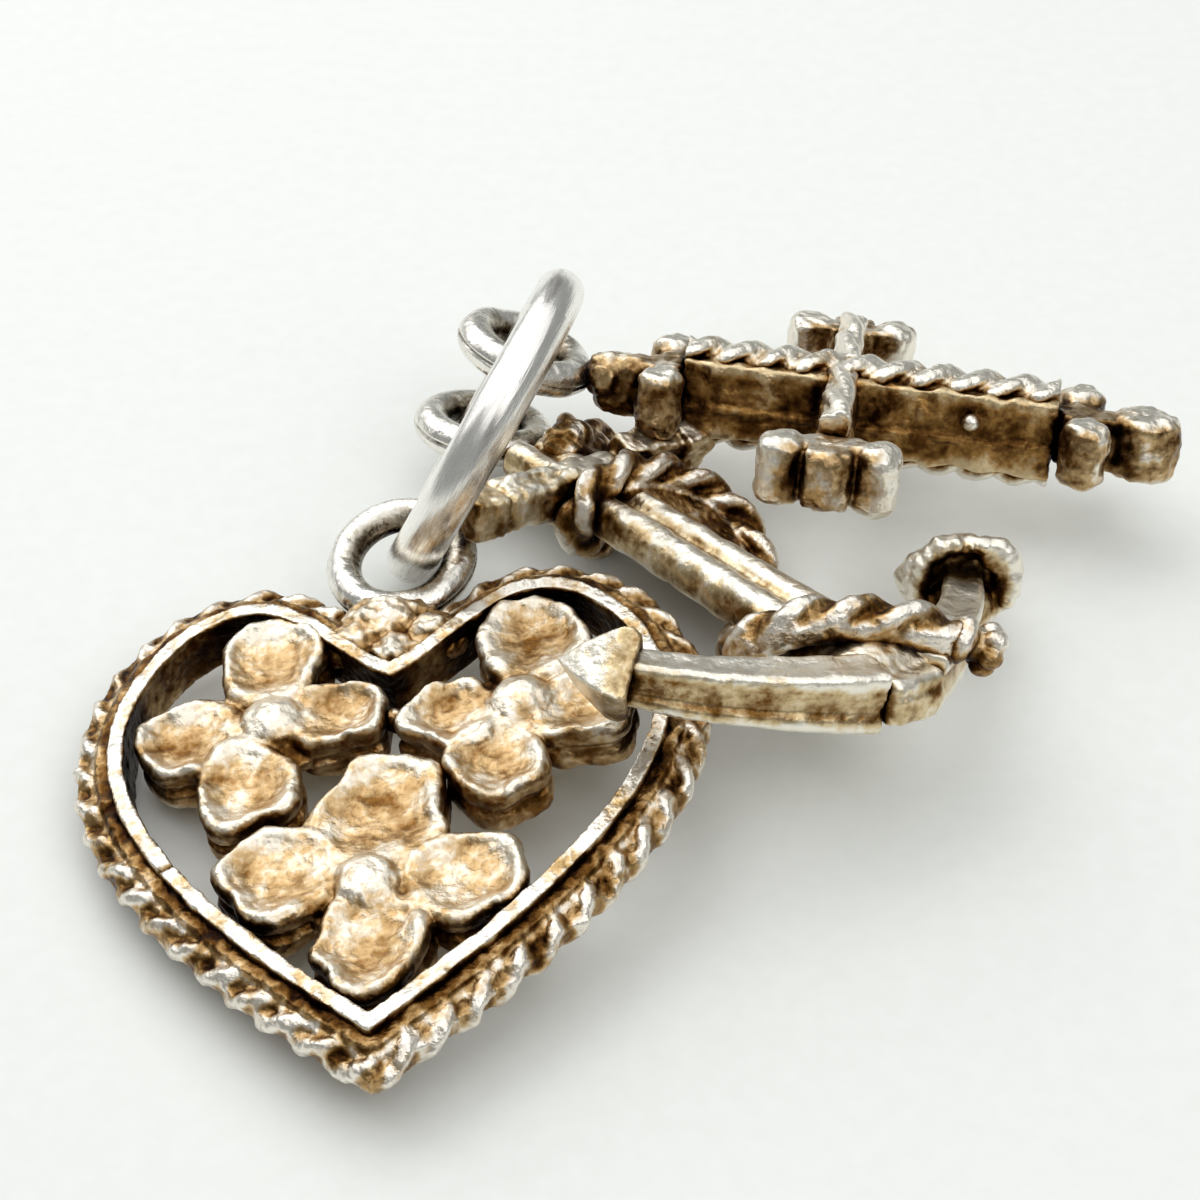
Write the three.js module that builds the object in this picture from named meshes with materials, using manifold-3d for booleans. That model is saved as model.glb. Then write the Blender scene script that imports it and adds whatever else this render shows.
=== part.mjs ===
// Faith, hope and charity charm: a cross, an anchor and a heart, each soldered up from small silver
// pieces, hanging together by their bails from one jump ring. Millimetres, +Z up, lying on a table.
import * as THREE from 'three';
import { mergeVertices } from 'three/addons/utils/BufferGeometryUtils.js';
import Module from 'manifold-3d';

const wasm = await Module();
wasm.setup();

// Fits
const SOLDER_GAP = 0.04; // left between two pieces that solder joins on the real charm

// Jump ring
const RING_RADIUS = 3.39; // to the middle of the wire
const RING_WIRE = 1.08;
const RING_HEADING = -16.1; // degrees that the hoop's axis is turned from +X
const RING_LEAN = 25.2; // degrees that the hoop leans out of the vertical
const RING_HEIGHT = 3.73; // middle of the hoop above the table before the set is dropped onto it

// Bails: the room that the ring's wire has in each loop, and the wire that the loop is made of
const HEART_BAIL_PLAY = [0.36, 0.6]; // across and along the loop
const HEART_BAIL_WIRE = 0.71;
const ANCHOR_BAIL_PLAY = [0.27, 0.32];
const ANCHOR_BAIL_WIRE = 0.8;
const CROSS_BAIL_PLAY = [0.27, 0.27];
const CROSS_BAIL_WIRE = 0.86;
const CROSS_BAIL_LIFT = 18; // degrees that the cross's bail is bent up from the plane of the cross

// Heart
const HEART_HALF_WIDTH = 5.6; // to the middle of the raised rim
const HEART_WIDEST = 1.07; // height of the widest place above the heart's own origin
const HEART_LOBE = [3.04, 4.57];
const HEART_CLEFT = 2.39;
const HEART_TIP = -6.47;
const HEART_DEPTH = 1.2;
const RIM_WIDTH = 0.4;
const BORDER_ROPE = 0.76; // outer diameter of the twisted border
const BORDER_ROPE_START = 90; // how far round its strands begin, in degrees
const FLOWER_DEPTH = 1.1;
const FLOWER_DOME = 0.8; // radius of a flower's middle
const FLOWER_WEB = 0.4; // thickness of the plate between the petals
const WEB_REACH = 0.45; // how far that plate reaches past the dome
const PETAL_DISH = 0.26;
const RIGHT_FLOWER = [2.72, 1.33]; // the middle of each flower
const LEFT_FLOWER = [-2.45, 1.34];
const FOOT_FLOWER = [-0.24, -3.11];
const SADDLE_WIDTH = 1.9;
const ROPE_END_GAP = 0.3; // least, from the saddle's side to the middle of the border's end
const SADDLE_DEPTH = 0.9;
const CLEFT_BEAD = 0.2; // radius
const BEAD_PLACE = [0.12, 1.3];

// Anchor
const SHANK_LENGTH = 10.8; // from the stock's axis down to the flat toe of the crown
const SHANK_HEAD = 2.1; // from the stock's axis up to the bail
const SHANK_WIDTH = 1.24;
const SHANK_DEPTH = 0.9;
const SHANK_FLARE = [1.36, 1.22]; // growth of width and depth down to the crown
const STOCK_LENGTH = 6.66;
const STOCK_OFFSET = -0.18; // how far the stock's middle sits to the left of the shank
const STOCK_BAR = 0.88;
const STOCK_BLOCK = 0.96;
const STOCK_BLOCK_LENGTH = 0.95;
const STOCK_EYE_WALL = 0.15;
const ARM_WIDTH = [1.1, 0.78]; // at the crown and at the fluke
const ARM_DEPTH = [1.04, 0.76];
const ARM_ROOT = 9.8; // below the stock's axis
const ARM_BEND = [3.7, -8.6];
const ARM_END = [4.95, -6.95];
const FLUKE_LENGTH = 1.35;
const FLUKE_SPREAD = 1.2; // half width in the plane of the arms
const FLUKE_RISE = 1.05; // half width across that plane
const ANCHOR_ROPE = 0.66;
const ANCHOR_ROPE_START = 60; // how far round its strands begin, in degrees
const TASSEL_LENGTH = 0.95;

// Cross
const POST_WIDTH = 1.4;
const POST_DEPTH = 1.2;
const POST_TOP = 3.65;
const POST_FOOT = -4.95;
const ARM_SPAN = 3.62; // from the post's axis to the end of the plain bar
const BAR_WIDTH = 0.75;
const LOBE_DEPTH = 1.6;
const LOBE_RADIUS = 0.52;
const CROSS_ROPE = 0.7;
const BAR_ROPE = 0.6;
const NECK_WIDTH = 0.84;
const NECK_TOP = 5.82;
const FOOT_END = [0.7, 0.85]; // half width and half length of the large lobe at the foot
const SIDE_BEAD = 0.2;
const SIDE_BEAD_PLACE = [-3.0, 0.35]; // along the post, and above its middle

// Twisted wire
const LAY = 1.8; // length of one full turn of the two strands, which wind to the left
const STEPS_PER_LAY = 6;

// How each charm lies: the place of its bail round the ring, the wire's place in the bail, and its turn
const HEART_POSE = { round: 216.5, slack: [0.233, 0.053, 0], pitch: 1.97, roll: -6.16, yaw: 1.22 };
const ANCHOR_POSE = { round: 317.2, slack: [0.004, 0.083, -0.03], pitch: -6.13, roll: 16.33, yaw: 40.08 };
const CROSS_POSE = { round: 352.6, slack: [-0.183, 0.027, 0.009], pitch: 1.59, roll: 17.13, yaw: 80.25 };

const radians = THREE.MathUtils.degToRad;
const v3 = (x, y, z) => new THREE.Vector3(x, y, z);
const v2 = (x, y) => new THREE.Vector2(x, y);

// Finishes
const brightSilver = new THREE.MeshStandardMaterial({ color: 0xe6e2da, roughness: 0.22, metalness: 1 });
const bailSilver = new THREE.MeshStandardMaterial({ color: 0xb9b5a9, roughness: 0.34, metalness: 1 });
const wornSilver = new THREE.MeshStandardMaterial({ color: 0xd8c39c, roughness: 0.38, metalness: 1 });
const darkSilver = new THREE.MeshStandardMaterial({ color: 0xb08a58, roughness: 0.42, metalness: 1 });

// Keeps positions only, with shared corners merged, so that the surface is one closed skin
function skin(geometry) {
  geometry.deleteAttribute('normal');
  geometry.deleteAttribute('uv');
  return mergeVertices(geometry, 1e-5);
}

function solidOf(geometry) {
  const closed = skin(geometry);
  return new wasm.Manifold(new wasm.Mesh({
    numProp: 3,
    vertProperties: new Float32Array(closed.attributes.position.array),
    triVerts: new Uint32Array(closed.index.array),
  }));
}

function geometryOf(solid) {
  const mesh = solid.getMesh();
  const geometry = new THREE.BufferGeometry();
  geometry.setAttribute('position', new THREE.BufferAttribute(mesh.vertProperties, 3));
  geometry.setIndex(new THREE.BufferAttribute(mesh.triVerts, 1));
  return geometry;
}

const asSolid = (form) => (form.isBufferGeometry ? solidOf(form) : form);
const join = (...forms) => forms.map(asSolid).reduce((whole, next) => whole.add(next));
const cut = (body, ...tools) => tools.reduce((left, tool) => left.subtract(asSolid(tool)), asSolid(body));

function piece(name, geometry, material) {
  const mesh = new THREE.Mesh(geometry, material);
  mesh.name = name;
  return mesh;
}

// Sweeps a section along points. The section may turn about the path, as the strands of a twist do,
// and may be scaled from start to end. Open paths get flat ends.
function sweep(points, section, { closed = false, turns = 0, start = 0, scale = () => [1, 1] } = {}) {
  const count = points.length;
  const sides = section.length;
  const at = (i) => points[closed ? (i + count) % count : THREE.MathUtils.clamp(i, 0, count - 1)];
  const vertices = [];
  const faces = [];
  let along = at(1).clone().sub(at(closed ? -1 : 0)).normalize();
  const side = v3(0, 0, 1).cross(along).normalize();
  for (let i = 0; i < count; i += 1) {
    const next = at(i + 1).clone().sub(at(i - 1)).normalize();
    side.applyQuaternion(new THREE.Quaternion().setFromUnitVectors(along, next));
    along = next;
    const over = along.clone().cross(side);
    const angle = start + (2 * Math.PI * turns * i) / (count - 1);
    const [wide, deep] = scale(i / (count - 1));
    for (const [x, y] of section) {
      const a = wide * (x * Math.cos(angle) - y * Math.sin(angle));
      const b = deep * (x * Math.sin(angle) + y * Math.cos(angle));
      vertices.push(...at(i).clone().addScaledVector(side, a).addScaledVector(over, b).toArray());
    }
  }
  const rows = closed ? count : count - 1;
  for (let i = 0; i < rows; i += 1) {
    for (let j = 0; j < sides; j += 1) {
      const a = i * sides + j;
      const b = i * sides + ((j + 1) % sides);
      const c = ((i + 1) % count) * sides + j;
      const d = ((i + 1) % count) * sides + ((j + 1) % sides);
      faces.push(a, b, d, a, d, c);
    }
  }
  if (!closed) {
    const first = vertices.length / 3;
    vertices.push(...points[0].toArray(), ...points[count - 1].toArray());
    for (let j = 0; j < sides; j += 1) {
      const k = (j + 1) % sides;
      faces.push(first, k, j, first + 1, (count - 1) * sides + j, (count - 1) * sides + k);
    }
  }
  const geometry = new THREE.BufferGeometry();
  geometry.setAttribute('position', new THREE.Float32BufferAttribute(vertices, 3));
  geometry.setIndex(faces);
  return geometry;
}

const roundSection = (radius, sides) => Array.from({ length: sides }, (_, i) => {
  const angle = (2 * Math.PI * i) / sides;
  return [radius * Math.cos(angle), radius * Math.sin(angle)];
});

// Two round strands side by side: twice as wide as one strand, with a dip where they meet
function twoStrands(diameter) {
  const quarter = [[0.5, 0], [0.36, 0.22], [0, 0.2], [-0.36, 0.22]];
  return [...quarter, ...quarter.map(([x, y]) => [-x, -y])].map(([x, y]) => [x * diameter, y * diameter]);
}

// Two strands of wire twisted together along a curve; start says how the strands lie at its first end
function twistedWire(curve, diameter, start = 0) {
  const length = curve.getLength();
  const steps = Math.max(4, Math.round((length / LAY) * STEPS_PER_LAY));
  return sweep(curve.getSpacedPoints(steps), twoStrands(diameter), { turns: -length / LAY, start });
}

// A closed loop of round wire, lying in the plane of X and Y
function wireLoop(halfWidth, halfLength, radius, steps, sides) {
  const points = Array.from({ length: steps }, (_, i) => {
    const angle = (2 * Math.PI * i) / steps;
    return v3(halfWidth * Math.cos(angle), halfLength * Math.sin(angle), 0);
  });
  return sweep(points, roundSection(radius, sides), { closed: true });
}

function bailLoop([halfWidth, halfLength], wire, centre, { grow = 0, lift = 0 } = {}) {
  const loop = wireLoop(halfWidth, halfLength, wire / 2 + grow, 26, 10);
  return loop.rotateX(radians(lift)).translate(...centre.toArray());
}

function slab(outline, depth) {
  const geometry = new THREE.ExtrudeGeometry(new THREE.Shape(outline), { depth, bevelEnabled: false });
  return geometry.translate(0, 0, -depth / 2);
}

function block(width, length, depth, x = 0, y = 0) {
  return new THREE.BoxGeometry(width, length, depth).translate(x, y, 0);
}

const mirroredDown = (profile) => profile.slice().reverse().map(([r, h]) => [r, -h]);
const bead = (radius) => new THREE.SphereGeometry(radius, 10, 8);

// A turned form about Z, from radius and height pairs that start and end on the axis
function turned(profile, sides) {
  const lathe = new THREE.LatheGeometry(profile.map(([r, h]) => v2(r, h)), sides);
  return lathe.rotateX(Math.PI / 2);
}

// Jump ring

const ring = new THREE.Group();
ring.rotation.set(0, radians(90 + RING_LEAN), radians(RING_HEADING), 'ZYX');
ring.position.z = RING_HEIGHT;
ring.add(piece('jump_ring', wireLoop(RING_RADIUS, RING_RADIUS, RING_WIRE / 2, 44, 10), brightSilver));
ring.updateMatrixWorld(true);

// A bail is a loop whose hole is the ring's wire and its play; it lists the sizes to its wire's middle
function bailSize(play, wire) {
  return play.map((room) => RING_WIRE / 2 + room + wire / 2);
}

// Places a charm by its bail: the ring's wire at one place round the hoop passes through the bail
function hang(charm, pose, bailCentre) {
  charm.rotation.set(radians(pose.pitch), radians(pose.roll), radians(pose.yaw), 'ZXY');
  const angle = radians(pose.round);
  const wire = v3(0, RING_RADIUS, 0).applyAxisAngle(v3(0, 0, 1), angle).applyMatrix4(ring.matrixWorld);
  const inCharm = bailCentre.clone().add(v3(...pose.slack)).applyEuler(charm.rotation);
  charm.position.copy(wire.sub(inCharm));
  return charm;
}

// Heart

const heartBail = bailSize(HEART_BAIL_PLAY, HEART_BAIL_WIRE);
const HEART_BAIL_CENTRE = v3(0, 6.3, 0);

// The right half of the heart's rim, from the cleft over the lobe and down to the tip
const lobe = v2(...HEART_LOBE);
const widest = v2(HEART_HALF_WIDTH, HEART_WIDEST);
const halfHeart = [
  [v2(0, HEART_CLEFT), v2(0.8, HEART_CLEFT + 0.4), v2(lobe.x - 1.1, lobe.y), lobe],
  [lobe, v2(lobe.x + 1.45, lobe.y), v2(widest.x, widest.y + 1.7), widest],
  [widest, v2(widest.x, widest.y - 2.5), v2(3.1, HEART_TIP + 2.4), v2(0, HEART_TIP)],
].map((controls) => new THREE.CubicBezierCurve(...controls));
const STEPS_PER_MM = 1.2;

const reflected = (points) => points.slice().reverse().map((p) => v2(-p.x, p.y));

// The half outline moved outwards, ended where it meets the heart's middle line
function halfEdge(offset) {
  const points = [];
  halfHeart.forEach((curve, index) => {
    const steps = Math.ceil(curve.getLength() * STEPS_PER_MM);
    for (let i = index ? 1 : 0; i <= steps; i += 1) {
      const t = i / steps;
      const along = curve.getTangent(t);
      points.push({ at: curve.getPoint(t).add(v2(-along.y, along.x).multiplyScalar(offset)), along });
    }
  });
  const kept = points.filter(({ at }) => at.x > 1e-3);
  const meet = ({ at, along }) => v2(0, at.y - (at.x * along.y) / along.x);
  const crossing = (a, b) => a.at.clone().lerp(b.at, a.at.x / (a.at.x - b.at.x)).setX(0);
  const first = points.indexOf(kept[0]);
  const last = points.indexOf(kept.at(-1));
  const start = first > 0 ? crossing(points[first - 1], points[first]) : meet(kept[0]);
  const end = last < points.length - 1 ? crossing(points[last], points[last + 1]) : meet(kept.at(-1));
  return [start, ...kept.map(({ at }) => at), end];
}

function heartEdge(offset) {
  const right = halfEdge(offset);
  return [...right, ...reflected(right.slice(1, -1))];
}

const heartBand = (half, depth) => cut(slab(heartEdge(half), depth), slab(heartEdge(-half), 2 * depth));
const rimSide = RIM_WIDTH / 2 + SOLDER_GAP;
const insideRim = solidOf(slab(heartEdge(-rimSide), 2 * HEART_DEPTH));
const rimRoom = heartBand(rimSide, 2 * HEART_DEPTH);

// The border runs round the outside of the rim from one side of the saddle to the other
function borderPath() {
  const start = SADDLE_WIDTH / 2 + ROPE_END_GAP;
  const half = halfEdge(rimSide + BORDER_ROPE / 2).filter((p) => p.x > start || p.y < HEART_CLEFT);
  const loop = [...half, ...reflected(half.slice(0, -1))];
  return new THREE.CatmullRomCurve3(loop.map((p) => v3(p.x, p.y, 0)), false, 'centripetal');
}

// One dished petal: a round pad with a raised lip on both faces
function petal(radius) {
  const half = FLOWER_DEPTH / 2;
  const face = half - PETAL_DISH;
  const front = [[radius, half - 0.16], [0.86 * radius, half], [0.6 * radius, face + 0.05], [0, face]];
  return turned([...mirroredDown(front), ...front], 14);
}

// Four petals round a domed middle on a web; each petal is [degrees, distance from the middle, radius].
// What would reach past the rim's inner face is cut off there.
function flower([x, y], petals) {
  const half = FLOWER_DEPTH / 2;
  const web = FLOWER_WEB / 2;
  const top = [[FLOWER_DOME + WEB_REACH, web], [FLOWER_DOME, web], [0.62 * FLOWER_DOME, half - 0.08], [0, half]];
  const dome = turned([...mirroredDown(top), ...top], 14);
  const leaves = petals.map(([angle, distance, radius]) => petal(radius)
    .translate(distance * Math.cos(radians(angle)), distance * Math.sin(radians(angle)), 0));
  const whole = [dome, ...leaves].map((part) => part.translate(x, y, 0));
  return geometryOf(join(...whole).intersect(insideRim));
}

const RIGHT_PETALS = [[81, 1.9, 1.08], [189, 1.53, 0.9], [-11, 1.42, 0.98], [253, 1.74, 1]];
const LEFT_PETALS = [[95, 1.83, 1.12], [192, 1.86, 1], [3, 1.5, 0.86], [259, 1.9, 1.02]];
const FOOT_PETALS = [[84, 1.85, 1.32], [168, 1.88, 1.1], [-2, 2.06, 1.06], [274, 1.55, 1.1]];

function saddle() {
  const half = SADDLE_WIDTH / 2;
  const top = HEART_BAIL_CENTRE.y - heartBail[1];
  const outline = [v2(0, HEART_CLEFT), v2(half, 3.35), v2(0.86 * half, 4.15), v2(0.6 * half, top),
    v2(-0.6 * half, top), v2(-0.86 * half, 4.15), v2(-half, 3.35)];
  const bailRoom = bailLoop(heartBail, HEART_BAIL_WIRE, HEART_BAIL_CENTRE, { grow: SOLDER_GAP });
  return geometryOf(cut(slab(outline, SADDLE_DEPTH), rimRoom, bailRoom));
}

const heart = new THREE.Group();
heart.add(
  piece('heart_rim', geometryOf(heartBand(RIM_WIDTH / 2, HEART_DEPTH)), wornSilver),
  piece('heart_border_rope', twistedWire(borderPath(), BORDER_ROPE, radians(BORDER_ROPE_START)), darkSilver),
  piece('heart_flower_right', flower(RIGHT_FLOWER, RIGHT_PETALS), wornSilver),
  piece('heart_flower_left', flower(LEFT_FLOWER, LEFT_PETALS), wornSilver),
  piece('heart_flower_foot', flower(FOOT_FLOWER, FOOT_PETALS), wornSilver),
  piece('heart_saddle', saddle(), wornSilver),
  piece('heart_cleft_bead', bead(CLEFT_BEAD).translate(...BEAD_PLACE, 0), wornSilver),
  piece('heart_bail', bailLoop(heartBail, HEART_BAIL_WIRE, HEART_BAIL_CENTRE), bailSilver),
);

// Anchor

const anchorBail = bailSize(ANCHOR_BAIL_PLAY, ANCHOR_BAIL_WIRE);
const ANCHOR_BAIL_CENTRE = v3(0, SHANK_HEAD + anchorBail[1] + ANCHOR_BAIL_WIRE / 2 + SOLDER_GAP, 0);

// The shank's section has two rounded ridges with a groove between them on the front and the back
function shank(grow = 0) {
  const half = [[1, 0.28], [0.88, 0.8], [0.52, 1], [0.14, 0.88], [0, 0.66]];
  const front = [...half, ...half.slice(0, -1).reverse().map(([x, y]) => [-x, y])];
  const around = [...front, ...front.slice().reverse().map(([x, y]) => [x, -y])];
  const outline = around.map(([x, y]) => v2(x * (SHANK_WIDTH / 2 + grow), y * (SHANK_DEPTH / 2 + grow)));
  const length = SHANK_HEAD + SHANK_LENGTH;
  const geometry = slab(outline, length).rotateX(Math.PI / 2).translate(0, SHANK_HEAD - length / 2, 0);
  const spots = geometry.attributes.position;
  for (let i = 0; i < spots.count; i += 1) {
    const down = (SHANK_HEAD - spots.getY(i)) / length;
    spots.setX(i, spots.getX(i) * THREE.MathUtils.lerp(1, SHANK_FLARE[0], down));
    spots.setZ(i, spots.getZ(i) * THREE.MathUtils.lerp(1, SHANK_FLARE[1], down));
  }
  return geometry;
}

function stock() {
  const end = (STOCK_LENGTH - STOCK_BLOCK_LENGTH) / 2;
  const eye = block(SHANK_WIDTH + 4 * STOCK_EYE_WALL, STOCK_BLOCK, SHANK_DEPTH + 4 * STOCK_EYE_WALL);
  const whole = join(block(STOCK_LENGTH - STOCK_BLOCK_LENGTH, STOCK_BAR, STOCK_BAR, STOCK_OFFSET), eye,
    block(STOCK_BLOCK_LENGTH, STOCK_BLOCK, STOCK_BLOCK, STOCK_OFFSET + end),
    block(STOCK_BLOCK_LENGTH, STOCK_BLOCK, STOCK_BLOCK, STOCK_OFFSET - end));
  return geometryOf(cut(whole, shank(SOLDER_GAP)));
}

// The right arm's middle line, from inside the shank's side to the fluke
const armRoot = v3(SHANK_WIDTH / 2, -ARM_ROOT, 0);
const armCurve = new THREE.QuadraticBezierCurve3(armRoot, v3(...ARM_BEND, 0), v3(...ARM_END, 0));
const armSide = [[0.5, -0.2], [0.5, 0.2], [0.32, 0.5], [0, 0.42], [-0.32, 0.5]];
const armSection = [...armSide, ...armSide.map(([x, y]) => [-x, -y])];
const armTaper = (t) => [ARM_WIDTH, ARM_DEPTH].map(([from, to]) => THREE.MathUtils.lerp(from, to, t));

// The right arm, butted to the side of the shank; the left one mirrors it
function arm() {
  const bar = sweep(armCurve.getPoints(9), armSection, { scale: armTaper });
  return geometryOf(cut(bar, shank(SOLDER_GAP)));
}

// A blunt arrowhead on the arm's end, hollowed behind so that its rim stands round the arm
function fluke() {
  const end = armCurve.getTangent(1);
  const profile = [[0, 0.05], [0.5, 0.02], [0.74, -0.16], [0.9, -0.2], [1, -0.06], [0.96, 0.16],
    [0.42, 0.82], [0, 1]].map(([r, h]) => [r, h * FLUKE_LENGTH]);
  const head = turned(profile, 10).rotateX(-Math.PI / 2).scale(FLUKE_SPREAD, 1, FLUKE_RISE);
  head.rotateZ(Math.atan2(end.y, end.x) - Math.PI / 2);
  const seat = v3(...ARM_END, 0).addScaledVector(end, SOLDER_GAP - 0.05 * FLUKE_LENGTH + 0.02);
  return head.translate(seat.x, seat.y, 0);
}

function mirror(geometry) {
  const flipped = skin(geometry.clone()).scale(-1, 1, 1);
  const index = flipped.index.array;
  for (let i = 0; i < index.length; i += 3) [index[i], index[i + 1]] = [index[i + 1], index[i]];
  return flipped;
}

// The rope leaves the head, turns behind the stock, crosses the front of the shank, bows out past its
// far edge, goes behind the shank, comes round the near edge and crosses the crown
const ropePoints = [[0.45, 1.85, 0.83], [1.15, 2.27, 0.64], [1.9, 2.35, 0.36], [2.3, 1.9, 0.05], [2.1, 1.1, -0.45],
  [1.45, 0.4, -1.05], [0.3, -0.3, -1.2], [-0.8, -0.85, -0.75], [-1.15, -1.05, -0.1], [-0.8, -1.05, 0.55],
  [-0.1, -0.9, 0.88],
  [0.7, -0.75, 0.92], [1.5, -0.8, 0.8], [2.3, -1.05, 0.5], [2.85, -1.6, 0.1], [2.95, -2.4, -0.2],
  [2.6, -3.3, -0.55], [1.7, -4.2, -0.85], [0.5, -5.1, -0.95], [-0.7, -6.0, -0.88], [-1.6, -6.7, -0.48],
  [-1.85, -7.2, 0.05], [-1.5, -7.7, 0.7], [-0.8, -8.25, 1.04], [0, -8.85, 1.12], [0.8, -9.5, 1.1],
  [1.3, -9.9, 0.92]];

const anchorRoute = new THREE.CatmullRomCurve3(ropePoints.map((p) => v3(...p)), false, 'centripetal');

function tassel() {
  const profile = [[0, 0], [0.3, 0], [0.42, 0.12], [0.42, 0.28], [0.28, 0.4], [0.34, 0.62], [0.5, 0.85],
    [0.42, 1], [0, 1]].map(([r, h]) => [r, h * TASSEL_LENGTH]);
  const tuft = turned(profile, 10);
  const along = anchorRoute.getTangent(1);
  tuft.applyQuaternion(new THREE.Quaternion().setFromUnitVectors(v3(0, 0, 1), along));
  const seat = anchorRoute.getPoint(1).addScaledVector(along, SOLDER_GAP);
  return tuft.translate(seat.x, seat.y, seat.z);
}

const anchor = new THREE.Group();
anchor.add(
  piece('anchor_shank', shank(), wornSilver),
  piece('anchor_stock', stock(), darkSilver),
  piece('anchor_arm_right', arm(), wornSilver),
  piece('anchor_arm_left', mirror(arm()), wornSilver),
  piece('anchor_fluke_right', fluke(), darkSilver),
  piece('anchor_fluke_left', mirror(fluke()), darkSilver),
  piece('anchor_rope', twistedWire(anchorRoute, ANCHOR_ROPE, radians(ANCHOR_ROPE_START)), darkSilver),
  piece('anchor_rope_tassel', tassel(), darkSilver),
  piece('anchor_bail', bailLoop(anchorBail, ANCHOR_BAIL_WIRE, ANCHOR_BAIL_CENTRE), bailSilver),
);

// Cross

const crossBail = bailSize(CROSS_BAIL_PLAY, CROSS_BAIL_WIRE);
const CROSS_BAIL_CENTRE = v3(0, crossBail[1], 0).applyAxisAngle(v3(1, 0, 0), radians(CROSS_BAIL_LIFT));
CROSS_BAIL_CENTRE.y += NECK_TOP + CROSS_BAIL_WIRE / 2 + SOLDER_GAP;

function crossBody() {
  const w = POST_WIDTH / 2;
  const b = BAR_WIDTH / 2;
  const half = [v2(w, POST_FOOT), v2(w, -b), v2(ARM_SPAN, -b), v2(ARM_SPAN, b), v2(w, b), v2(w, POST_TOP)];
  return slab([...half, ...reflected(half)], POST_DEPTH);
}

// An upright lobe of a trefoil end, softly rounded at both rims
function column(x, y, wide = LOBE_RADIUS, long = LOBE_RADIUS) {
  const half = LOBE_DEPTH / 2;
  const edge = half - 0.16;
  const lobeForm = turned([[0, -half], [0.72, -half], [1, -edge], [1, edge], [0.72, half], [0, half]], 12);
  return lobeForm.scale(wide, long, 1).translate(x, y, 0);
}

// The end of an arm: a seat that butts to the bar, two side lobes and a middle lobe; drawn pointing up
function armEnd() {
  const start = ARM_SPAN + SOLDER_GAP;
  const seat = block(2.1, 0.62, LOBE_DEPTH * 0.76, 0, start + 0.52);
  const stem = block(BAR_WIDTH, 1.0, LOBE_DEPTH * 0.76, 0, start + 0.5);
  const lobes = [column(-1.06, start + 0.6), column(1.06, start + 0.6), column(0, start + 1.22)];
  return geometryOf(join(seat, stem, ...lobes));
}

// The head carries the bail; the foot ends in one large lobe
function headEnd() {
  const from = POST_TOP + SOLDER_GAP;
  const neck = block(NECK_WIDTH, NECK_TOP - from, POST_DEPTH, 0, (NECK_TOP + from) / 2);
  const seat = block(2.3, 0.62, POST_DEPTH * 0.85, 0, from + 0.4);
  return geometryOf(join(neck, seat, column(-1.22, from + 0.4), column(1.22, from + 0.4)));
}

function footEnd() {
  const from = POST_FOOT - SOLDER_GAP;
  const end = from - 2.0;
  const neck = block(NECK_WIDTH, from - end, POST_DEPTH, 0, (from + end) / 2);
  const seat = block(2.2, 0.62, POST_DEPTH * 0.85, 0, from - 0.6);
  const lobes = [column(-1.15, from - 0.6), column(1.15, from - 0.6), column(0, end, ...FOOT_END)];
  return geometryOf(join(neck, seat, ...lobes));
}

const ropeLevel = (diameter) => POST_DEPTH / 2 + SOLDER_GAP + diameter / 2;
const postRope = (side) => {
  const z = side * ropeLevel(CROSS_ROPE);
  return twistedWire(new THREE.LineCurve3(v3(0, POST_TOP, z), v3(0, POST_FOOT, z)), CROSS_ROPE);
};
const barRope = (side, face) => {
  const z = face * ropeLevel(BAR_ROPE);
  const from = v3(side * (CROSS_ROPE / 2 + SOLDER_GAP), 0, z);
  return twistedWire(new THREE.LineCurve3(from, v3(side * ARM_SPAN, 0, z)), BAR_ROPE);
};

const crossLoop = bailLoop(crossBail, CROSS_BAIL_WIRE, CROSS_BAIL_CENTRE, { lift: CROSS_BAIL_LIFT });
const beadSide = POST_WIDTH / 2 + SOLDER_GAP + SIDE_BEAD;
const cross = new THREE.Group();
cross.add(
  piece('cross_body', crossBody(), darkSilver),
  piece('cross_post_rope_front', postRope(1), wornSilver),
  piece('cross_post_rope_back', postRope(-1), wornSilver),
  piece('cross_end_head', headEnd(), bailSilver),
  piece('cross_end_foot', footEnd(), wornSilver),
  piece('cross_end_right', armEnd().rotateZ(-Math.PI / 2), wornSilver),
  piece('cross_end_left', armEnd().rotateZ(Math.PI / 2), wornSilver),
  piece('cross_side_bead', bead(SIDE_BEAD).translate(-beadSide, ...SIDE_BEAD_PLACE), wornSilver),
  piece('cross_bail', crossLoop, bailSilver),
);
for (const [side, sideName] of [[1, 'right'], [-1, 'left']]) {
  for (const [face, faceName] of [[1, 'front'], [-1, 'back']]) {
    cross.add(piece(`cross_bar_rope_${sideName}_${faceName}`, barRope(side, face), wornSilver));
  }
}

// The whole set, dropped onto the table and centred on it

const charm = new THREE.Group();
charm.add(
  ring,
  hang(heart, HEART_POSE, HEART_BAIL_CENTRE),
  hang(anchor, ANCHOR_POSE, ANCHOR_BAIL_CENTRE),
  hang(cross, CROSS_POSE, CROSS_BAIL_CENTRE),
);
charm.updateMatrixWorld(true);
const extent = new THREE.Box3().setFromObject(charm, true);
const middle = extent.getCenter(v3(0, 0, 0));
charm.position.set(-middle.x, -middle.y, -extent.min.z);
charm.updateMatrixWorld(true);

export default charm;
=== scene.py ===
# A faith, hope and charity charm: a cross, an anchor and a heart of tarnished silver, hanging by their
# bails from one bright jump ring, and lying in a loose pile on a pale table.
import math

import bmesh
import bpy
from mathutils import Matrix, Vector, noise
from mathutils.geometry import interpolate_bezier
from mathutils.kdtree import KDTree


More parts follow.
